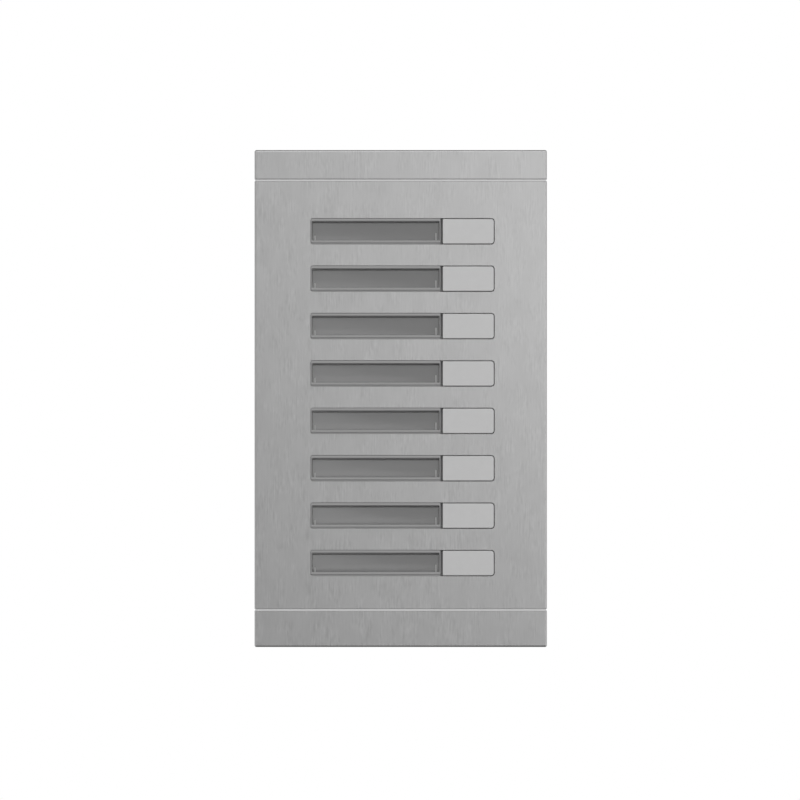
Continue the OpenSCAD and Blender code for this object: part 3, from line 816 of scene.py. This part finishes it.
def button_seal():
    """Silicone strip with a raised lip round each stem."""
    box = span("button_seal")
    strip = block(rectangle(box.x0, box.x1, box.z0, box.z1, (2,) * 4, steps=8), box.d0 + 0.2, box.d1, 0.1)
    lips = [block(circle(STEM_X, z, STEM_R + 0.9, 40), box.d0, box.d1 - 0.2, 0.1) for z in ROW_Z.values()]
    holes = [block(circle(STEM_X, z, STEM_R + 0.08, 40), box.d0 - 1, box.d1 + 1) for z in ROW_Z.values()]
    obj = solid("button_seal_strip", [strip], ("UNION", lips), ("DIFFERENCE", holes))
    finish_piece(obj, "housing", "silicone", SILICONE, "button_seal")


# ---------- Circuit board ----------

def circuit_board():
    outline = rectangle(BOARD.x0, BOARD.x1, BOARD.z0, BOARD.z1, (2,) * 4, steps=8)
    holes = [block(circle(x, z, 1.5, 32), BOARD.d0 - 1, BOARD.d1 + 1) for x, z in POSTS]
    obj = solid("board_mask", [block(outline, BOARD.d0, BOARD.d1, 0.05, 0.05, steps=2)], ("DIFFERENCE", holes))
    finish_piece(obj, "housing", "circuit_board", MASK, "circuit_board")


def switches():
    """Push-switch bodies with a steel top plate."""
    box = span("switch_housings")
    zs = list(ROW_Z.values())
    bodies = [
        block(rectangle(box.x0, box.x1, z - 3.1, z + 3.1, (0.5,) * 4), BOARD.d1, box.d1 - 0.25, 0.1, 0.1) for z in zs
    ]
    wells = [block(circle(STEM_X, z, 1.8, 36), BOARD.d1 + 0.4, box.d1 + 1) for z in zs]
    obj = solid("switch_bodies", bodies, ("DIFFERENCE", wells))
    finish_piece(obj, "housing", "black_plastic", BLACK_PLASTIC, "switch_housings")
    plates = [
        block(rectangle(box.x0 + 0.1, box.x1 - 0.1, z - 3.0, z + 3.0, (0.4,) * 4), box.d1 - 0.25, box.d1, 0, 0.06)
        for z in zs
    ]
    obj = solid("switch_top_plates", plates, ("DIFFERENCE", wells))
    finish_piece(obj, "housing", "zinc_screw", ZINC, "switch_housings")


def lamps():
    """Surface-mount lamps: a white body with a dished lens of phosphor."""
    box = span("backlight_leds")
    bodies = [
        block(rectangle(x - 1.7, x + 1.7, z - 1.4, z + 1.4, (0.15,) * 4), box.d0, box.d1, 0.05, 0.05) for x, z in LAMPS
    ]
    dishes = [
        [front(circle(x, z, r, 28)(0), d) for r, d in ((0.9, box.d1 - 0.45), (1.15, box.d1 + 0.3))] for x, z in LAMPS
    ]
    obj = solid("lamp_bodies", bodies, ("DIFFERENCE", dishes))
    finish_piece(obj, "housing", "white_plastic", WHITE_PLASTIC, "backlight_leds")
    lenses = [
        turned(x, z, [(0.88, box.d1 - 0.44), (1.03, box.d1 - 0.12), (0.7, box.d1 - 0.06), (0.1, box.d1 - 0.04)], 28)
        for x, z in LAMPS
    ]
    obj = solid("lamp_lenses", lenses)
    finish_piece(obj, "housing", "lamp_lens", PHOSPHOR, "backlight_leds")


def chip_body(x, z, w, h, t):
    """Rings of a moulded chip with drafted sides, on the wall side of the board."""
    back = BOARD.d0
    outline = rectangle(x - w / 2, x + w / 2, z - h / 2, z + h / 2, (0.1,) * 4, steps=2)
    return [front(outline(inset), back - d) for inset, d in ((0.12, 0.1), (0, t * 0.5), (0.12, t))]


def chip_legs(x, z, w, h, pitch, sides):
    """Rings of the gull-wing legs along the left and right of a chip, or along all four sides."""
    back = BOARD.d0
    legs = []
    bend = [(0.0, 0.75), (0.35, 0.75), (0.6, 0.12), (1.1, 0.1)]
    for way in sides:
        length = h if way in ("left", "right") else w
        reach = (w if way in ("left", "right") else h) / 2 - 0.1
        for k in range(int((length - 1) / pitch) + 1):
            along = (k - int((length - 1) / pitch) / 2) * pitch
            rings = []
            for out, lift in bend:
                sign = 1 if way in ("right", "up") else -1
                half, t = pitch * 0.22, 0.12
                ring = []
                for da, dl in ((-half, 0), (half, 0), (half, t), (-half, t)):
                    a = along + da
                    b = sign * (reach + out)
                    px, pz = (x + b, z + a) if way in ("left", "right") else (x + a, z + b)
                    ring.append(Vector((px, -(back - lift - dl + 0.08), pz)))
                rings.append(ring)
            legs.append(rings)
    return legs


def board_parts():
    """Chips, capacitors, resistors and the link header on the wall side of the board."""
    back = BOARD.d0
    chips = [chip_body(-22, 34, 11, 11, 1.6)]
    legs = chip_legs(-22, 34, 11, 11, 0.8, ("left", "right", "up", "down"))
    for z in (8, -14):
        chips.append(chip_body(-22, z, 4, 10, 1.5))
        legs += chip_legs(-22, z, 4, 10, 1.27, ("left", "right"))
    chips.append(chip_body(20, -34, 6.4, 6.2, 2.3))
    legs += chip_legs(20, -34, 6.4, 6.2, 2.3, ("up", "down"))
    small = [(x, 34, 2, 1.25, 0.6) for x in (-8, -2, 4, 10)] + [(0, z, 3.2, 1.6, 0.7) for z in (20, 16, 12, 8, 4)]
    ends = []
    for x, z, w, h, t in small:
        chips.append(
            block(rectangle(x - w / 2 + 0.35, x + w / 2 - 0.35, z - h / 2, z + h / 2), back - t, back - 0.04)
        )
        ends += [
            block(rectangle(a, a + 0.4, z - h / 2 + 0.02, z + h / 2 - 0.02, (0.05,) * 4, steps=2), back - t, back, 0.06)
            for a in (x - w / 2, x + w / 2 - 0.4)
        ]
    bases = [
        block(rectangle(36 - 4.3, 36 + 4.3, z - 4.3, z + 4.3, (0.3, 1.2, 1.2, 0.3)), back - 0.9, back, 0.1)
        for z in (-30, -42)
    ]
    obj = solid("chips_and_bases", chips, ("UNION", bases))
    finish_piece(obj, "housing", "black_plastic", BLACK_PLASTIC, "board_components")
    cans = [
        turned(36, z, [(0.3, back - 9.96), (3.4, back - 9.96), (3.8, back - 9.8), (4, back - 9.5), (4, back - 2.2),
                       (3.7, back - 1.9), (3.7, back - 1.6), (4, back - 1.3), (4, back - 0.85)])
        for z in (-30, -42)
    ]
    obj = solid("legs_and_cans", legs + ends + cans)
    finish_piece(obj, "housing", "zinc_screw", ZINC, "board_components")
    hx, hz = -24, -62
    shroud = block(rectangle(hx - 10, hx + 10, hz - 4.4, hz + 4.4, (0.3,) * 4), back - 9, back, 0.2)
    well = bore(rectangle(hx - 9, hx + 9, hz - 3.3, hz + 3.3, (0.3,) * 4), back - 2, back - 9, 0.2)
    key = block(rectangle(hx - 2.2, hx + 2.2, hz - 6, hz), back - 10, back - 3)
    obj = solid("link_header_shroud", [shroud], ("DIFFERENCE", [well]), ("DIFFERENCE", [key]))
    finish_piece(obj, "housing", "black_plastic", BLACK_PLASTIC, "board_components")
    pins = [
        [front(rectangle(px - 0.32, px + 0.32, pz - 0.32, pz + 0.32, steps=1)(inset), d)
         for inset, d in ((0.18, back - 8), (0, back - 7.5), (0, back - 1.9))]
        for px in (hx + n * 2.54 for n in range(-2, 3)) for pz in (hz - 1.27, hz + 1.27)
    ]
    obj = solid("link_header_pins", pins)
    finish_piece(obj, "housing", "zinc_screw", ZINC, "board_components")


def terminal_block():
    """Screw terminals with a stepped top, wells for the clamp screws and mouths for the wires."""
    box = span("terminal_block")
    back = BOARD.d0
    body = block(rectangle(box.x0, box.x1, box.z0, box.z1, (0.3,) * 4), box.d0, box.d1, 0.3, 0.1)
    step = block(rectangle(box.x0 - 1, box.x1 + 1, box.z1 - 1.6, box.z1 + 1), box.d0 - 1, back - 7.5)
    wells = [bore(circle(x, TERMINAL_Z + 1, 1.9, 36), box.d0 + 4, box.d0, 0.2) for x in TERMINALS]
    mouths = [
        bore(rectangle(x - 1.8, x + 1.8, back - 5.4, back - 1.6, (0.3,) * 4), TERMINAL_Z - 2, box.z0, 0.25, place=plan)
        for x in TERMINALS
    ]
    seams = [
        block(rectangle(x - 0.15, x + 0.15, box.z0 - 1, box.z1 + 1), box.d0 - 1, box.d0 + 0.35)
        for x in ((a + b) / 2 for a, b in zip(TERMINALS, TERMINALS[1:]))
    ]
    obj = solid(
        "terminal_body", [body], ("DIFFERENCE", [step]), ("DIFFERENCE", wells),
        ("DIFFERENCE", mouths), ("DIFFERENCE", seams)
    )
    finish_piece(obj, "housing", "green_plastic", GREEN_PLASTIC, "terminal_block")
    seat = box.d0
    heads = [block(circle(x, TERMINAL_Z + 1, 1.8, 36), seat + 1, seat + 4, 0.15) for x in TERMINALS]
    slots = [
        block(rectangle(x - 2, x + 2, TERMINAL_Z + 0.7, TERMINAL_Z + 1.3), seat, seat + 1.8) for x in TERMINALS
    ]
    obj = solid("terminal_clamp_screws", heads, ("DIFFERENCE", slots))
    finish_piece(obj, "housing", "zinc_screw", ZINC, "terminal_screws")


def rear_screws(name, node_name, places, seat, tip, shank):
    """Pan-head screws with a cross recess, heads towards the wall and threads towards the front."""
    head_t, head_r = 1.5, 2.3
    turns = [(0.3, seat - head_t), (1.2, seat - head_t), (1.8, seat - head_t + 0.15), (2.2, seat - head_t + 0.55),
             (head_r, seat - 0.5), (head_r, seat - 0.05), (head_r - 0.05, seat), (shank - 0.02, seat)]
    pitch = 0.9
    d = seat + 0.3
    while d < tip - 0.9:
        turns += [(shank - 0.22, d), (shank, d + pitch * 0.4),
                  (shank, d + pitch * 0.5), (shank - 0.22, d + pitch * 0.9)]
        d += pitch
    turns += [(shank - 0.3, tip - 0.3), (0.2, tip)]
    screws = [turned(x, z, turns, 36) for x, z in places]
    steps = []
    for wide, high in ((1.3, 0.3), (0.3, 1.3)):
        arms = [
            [front(rectangle(x - wide, x + wide, z - high, z + high, steps=2)(inset), d)
             for inset, d in ((0, seat - head_t - 0.2), (0, seat - head_t), (0.14, seat - head_t + 0.9))]
            for x, z in places
        ]
        steps.append(("DIFFERENCE", arms))
    obj = solid(name, screws, *steps)
    finish_piece(obj, "housing", "zinc_screw", ZINC, node_name)


# ---------- Rear box and seals ----------

def rear_box():
    box = BOX
    half_z = SEAL.z1
    back = SEAL.d1 + 2.0
    joint = 18.0
    tub = block(rectangle(SEAL.x0, SEAL.x1, -half_z, half_z, (1,) * 4), SEAL.d1, joint, 0.2, 0.2)
    inside = block(
        rectangle(SEAL.x0 + WALL_T, SEAL.x1 - WALL_T, -half_z + WALL_T, half_z - WALL_T, (1.2,) * 4),
        back, joint + 1, 0.5,
    )
    ribs = [
        block(
            rectangle(SEAL.x0 + WALL_T - 0.2, SEAL.x1 - WALL_T + 0.2, z - 0.8, z + 0.8),
            back - 0.3, back + 2, high_r=0.25
        )
        for z in (-20, 20, 50)
    ]
    pads = [block(circle(x, z, 7), 0, SEAL.d1 + 0.4, 0.25) for x, z in FIX]
    lugs = [
        block(rectangle(x - 5, x + 5, 6, 8.5, (0.3,) * 4), half_z - 0.5, half_z + 1.4, 0, 0.3, place=plan)
        for x in (-26, 26)
    ]
    inner_blocks = [
        block(
            rectangle(x - 4.5, x + 4.5, -half_z + WALL_T - 0.3, -89, (0.3, 0.3, 0.6, 0.6)),
            back - 0.3, LOCK_D + 4, high_r=0.3
        )
        for x in (-LOCK_X, LOCK_X)
    ]
    outer_blocks = [
        block(rectangle(x - 4.5, x + 4.5, LOCK_D - 4, LOCK_D + 4, (0.5,) * 4), box.z0, -half_z + 0.4, 0.3, place=plan)
        for x in (-LOCK_X, LOCK_X)
    ]
    screw_bores = [block(circle(x, LOCK_D, 1.55, 32), box.z0 - 1, -90.5, place=plan) for x in (-LOCK_X, LOCK_X)]
    wall_holes = [bore(circle(x, z, 2.25, 40), back + 1, 0, 0.3) for x, z in FIX]
    cable_seat = block(circle(0, CABLE_Z, 8, 64), 0.2, back + 1)
    drain = block(rectangle(-6, 6, 12, 14, (0.95,) * 4), -half_z - 1, -half_z + WALL_T + 1, place=plan)
    obj = solid(
        "rear_box_tub", [tub],
        ("DIFFERENCE", [inside]), ("UNION", ribs), ("UNION", pads + lugs),
        ("UNION", inner_blocks), ("UNION", outer_blocks),
        ("DIFFERENCE", screw_bores), ("DIFFERENCE", wall_holes + [cable_seat]), ("DIFFERENCE", [drain]),
    )
    finish_piece(obj, "housing", "box_plastic", BOX_PLASTIC, "rear_box")


def security_screws():
    """Button-head screws with a six-lobe recess round a tamper-proof pin."""
    low = span("security_screws").z0
    shank = 1.5
    profile = [(0.4, low), (1.8, low), (2.3, low + 0.2), (2.65, low + 0.6), (2.8, low + 1.1), (2.76, low + 1.3),
               (shank, low + 1.32)]
    pitch = 0.8
    z = low + 2.6
    while z < -92.6:
        profile += [(shank - 0.25, z), (shank, z + pitch * 0.4),
                    (shank, z + pitch * 0.5), (shank - 0.25, z + pitch * 0.9)]
        z += pitch
    profile += [(shank - 0.3, -91.4), (0.8, -91)]
    places = (-LOCK_X, LOCK_X)
    screws = [[plan(circle(x, LOCK_D, r, 48)(0), level) for r, level in profile] for x in places]
    drives = [
        [plan(lobed(x, LOCK_D, 1.35, 1.0)(inset), level)
         for inset, level in ((-0.1, low - 0.5), (-0.1, low), (0, low + 0.1), (0, low + 0.9))]
        for x in places
    ]
    pins = [block(circle(x, LOCK_D, 0.42, 24), low + 0.1, low + 1.0, 0.08, place=plan) for x in places]
    obj = solid("security_screw_set", screws, ("DIFFERENCE", drives), ("UNION", pins))
    finish_piece(obj, "housing", "stainless_screw", STAINLESS, "security_screws")


def frame_seal(name, node_name, width, edge, slot, material):
    """A rectangular ring of rubber or foam with soft edges."""
    box = span(node_name)
    outer = block(rectangle(box.x0, box.x1, box.z0, box.z1, (1,) * 4), box.d0, box.d1, edge, edge)
    inner = block(
        rectangle(box.x0 + width, box.x1 - width, box.z0 + width, box.z1 - width, (0.6,) * 4), box.d0 - 1, box.d1 + 1
    )
    obj = solid(name, [outer], ("DIFFERENCE", [inner]))
    finish_piece(obj, "housing", slot, material, node_name)


def cable_grommet():
    """Rubber grommet with two flanges, a collar and a mouth that leads a cable in."""
    box = span("cable_grommet")
    wall_back = SEAL.d1 + 2.0
    r = 3.5
    profile = [(9.7, 0), (10, 0.25), (10, SEAL.d1 - 0.2), (9.8, SEAL.d1), (7.95, SEAL.d1), (7.95, wall_back),
               (9.8, wall_back),
               (10, wall_back + 0.25), (10, wall_back + 1.0), (9.5, wall_back + 1.4), (5.6, wall_back + 1.5),
               (5.1, wall_back + 2.0), (4.9, box.d1 - 0.2), (4.7, box.d1)]
    body = turned(0, CABLE_Z, profile, 64)
    cable_hole = bore(circle(0, CABLE_Z, r, 64), box.d1 + 1, 0, 0.5)
    obj = solid("cable_grommet_rubber", [body], ("DIFFERENCE", [cable_hole]))
    finish_piece(obj, "housing", "grommet_rubber", GROMMET, "cable_grommet")


# ---------- Stage, light and camera ----------

# Brightness of the surroundings towards -x, -y, -z and towards +x, +y, +z
SURROUND = SimpleNamespace(low=(0.7, 0.37, 0.1), high=(0.75, 0.4, 0.25))
# Name, place and size in metres, and power in watts
LIGHTS = [
    ("key", (0.35, -1.0, 0.09), 0.4, 0.79),
    ("upper", (-0.05, -1.0, 0.35), 0.5, 0.25),
    ("overhead", (0.15, -2.4, 2.2), 2.0, 15.0),
]
# The lamp for the panes alone: metres, watts, and degrees round its own axis
SHEEN = SimpleNamespace(place=(-0.245, -2.4, -0.1), width=0.4, height=0.62, power=1.2, roll=15)


def aim(obj, at, roll=0.0):
    towards = (Vector(at) - obj.location).to_track_quat("-Z", "Y")
    obj.rotation_euler = (towards @ Quaternion((0, 0, 1), math.radians(roll))).to_euler()


def area_light(name, place, at, size, power, height=None, roll=0.0):
    """A soft rectangular lamp that points at a place."""
    light = bpy.data.lights.new(name, "AREA")
    light.shape = "RECTANGLE"
    light.size = size
    light.size_y = height or size
    light.energy = power
    obj = new_object(name, light)
    obj.location = place
    aim(obj, at, roll)
    return obj


def make_world():
    """Soft grey surroundings, a brightness for each side that blends into its neighbours, behind a
    plain white backdrop that only the camera sees."""
    world = bpy.data.worlds.new("studio")
    bpy.context.scene.world = world
    world.use_nodes = True
    made = SimpleNamespace(tree=world.node_tree)
    made.tree.nodes.clear()
    direction = node(made, "ShaderNodeTexCoord").outputs["Generated"]
    sides = node(made, "ShaderNodeVectorMath", {0: direction}, operation="SIGN").outputs[0]
    middle = [(a + b) / 2 for a, b in zip(SURROUND.low, SURROUND.high)]
    half = [(b - a) / 2 for a, b in zip(SURROUND.low, SURROUND.high)]
    bright = node(made, "ShaderNodeVectorMath", {0: sides, 1: half, 2: middle}, operation="MULTIPLY_ADD").outputs[0]
    shares = node(made, "ShaderNodeVectorMath", {0: direction, 1: direction}, operation="MULTIPLY").outputs[0]
    strength = node(made, "ShaderNodeVectorMath", {0: bright, 1: shares}, operation="DOT_PRODUCT").outputs["Value"]
    around = node(made, "ShaderNodeBackground", {"Color": (1, 1, 1, 1), "Strength": strength})
    backdrop = node(made, "ShaderNodeBackground", {"Color": (1, 1, 1, 1), "Strength": 1.0})
    seen = node(made, "ShaderNodeLightPath").outputs["Is Camera Ray"]
    mixed = node(made, "ShaderNodeMixShader", {0: seen, 1: around.outputs[0], 2: backdrop.outputs[0]})
    node(made, "ShaderNodeOutputWorld", {"Surface": mixed.outputs[0]})


def make_floor():
    """A pale round floor well below the panel, which hangs clear of it as it does on a wall."""
    radius, level = 3.6, -0.42
    bm = bmesh.new()
    bmesh.ops.create_circle(bm, cap_ends=True, segments=96, radius=radius)
    mesh = bpy.data.meshes.new("floor")
    bm.to_mesh(mesh)
    bm.free()
    floor = new_object("floor", mesh)
    floor.location = (0, 0, level)
    made = new_material("floor_pale", grey(0.85), 0.7, Emission_Strength=0.35)
    cloud = grain(made, (12.0,) * 3)
    tint(made, cloud, grey(0.84), grey(0.86))
    mesh.materials.append(made.material)
    floor.visible_glossy = False
    floor.visible_diffuse = False


def make_lights(panes):
    """Soft lamps for everything, and one in front that lights the panes alone."""
    for name, place, size, power in LIGHTS:
        area_light(name, place, (0, 0, 0), size, power)
    sheen = area_light("sheen", SHEEN.place, (0, 0, 0), SHEEN.width, SHEEN.power, SHEEN.height, SHEEN.roll)
    lit = bpy.data.collections.new("panes")
    sheen.light_linking.receiver_collection = lit
    for pane in panes:
        lit.objects.link(pane)


def make_camera():
    """A long lens square to the face, so that no side shows."""
    frame_width = 0.3283  # of the view, at the panel's face, in metres
    data = bpy.data.cameras.new("camera")
    data.lens = 300
    data.sensor_width = 36
    camera = new_object("camera", data)
    distance = frame_width * data.lens / data.sensor_width
    face = COVER.d1 * MM
    camera.location = (-0.0003, -face - distance, -0.0006)
    camera.rotation_euler = (math.pi / 2, 0, 0)
    data.clip_end = 50
    bpy.context.scene.camera = camera


# ---------- The panel ----------

front_cover()
top_cap()
bottom_cap()
trim_strip("top_trim_strip", 0.1)
trim_strip("bottom_trim_strip", 0.02)
chassis()
panes = []
for row in ROWS:
    call_button(row)
    switch_plunger(row)
    panes.append(name_window(row))
    name_card(row)
    light_guide(row)
button_seal()
circuit_board()
switches()
lamps()
board_parts()
terminal_block()
rear_screws("board_screw_set", "board_screws", POSTS, BOARD.d0, PLATE_D - 2, 1.15)
rear_screws(
    "shell_screw_set", "shell_screws", [p for places in SHELL_SCREWS.values() for p in places],
    PLATE_D, FACE_BACK + 2.0, 1.25,
)
security_screws()
rear_box()
frame_seal("box_gasket_ring", "box_gasket", 2.1, 0.15, "silicone", SILICONE)
frame_seal("wall_seal_foam", "wall_seal", 4.0, 0.1, "seal_foam", FOAM)
cable_grommet()

make_world()
make_floor()
make_lights(panes)
make_camera()
bpy.context.scene.view_settings.view_transform = "Standard"
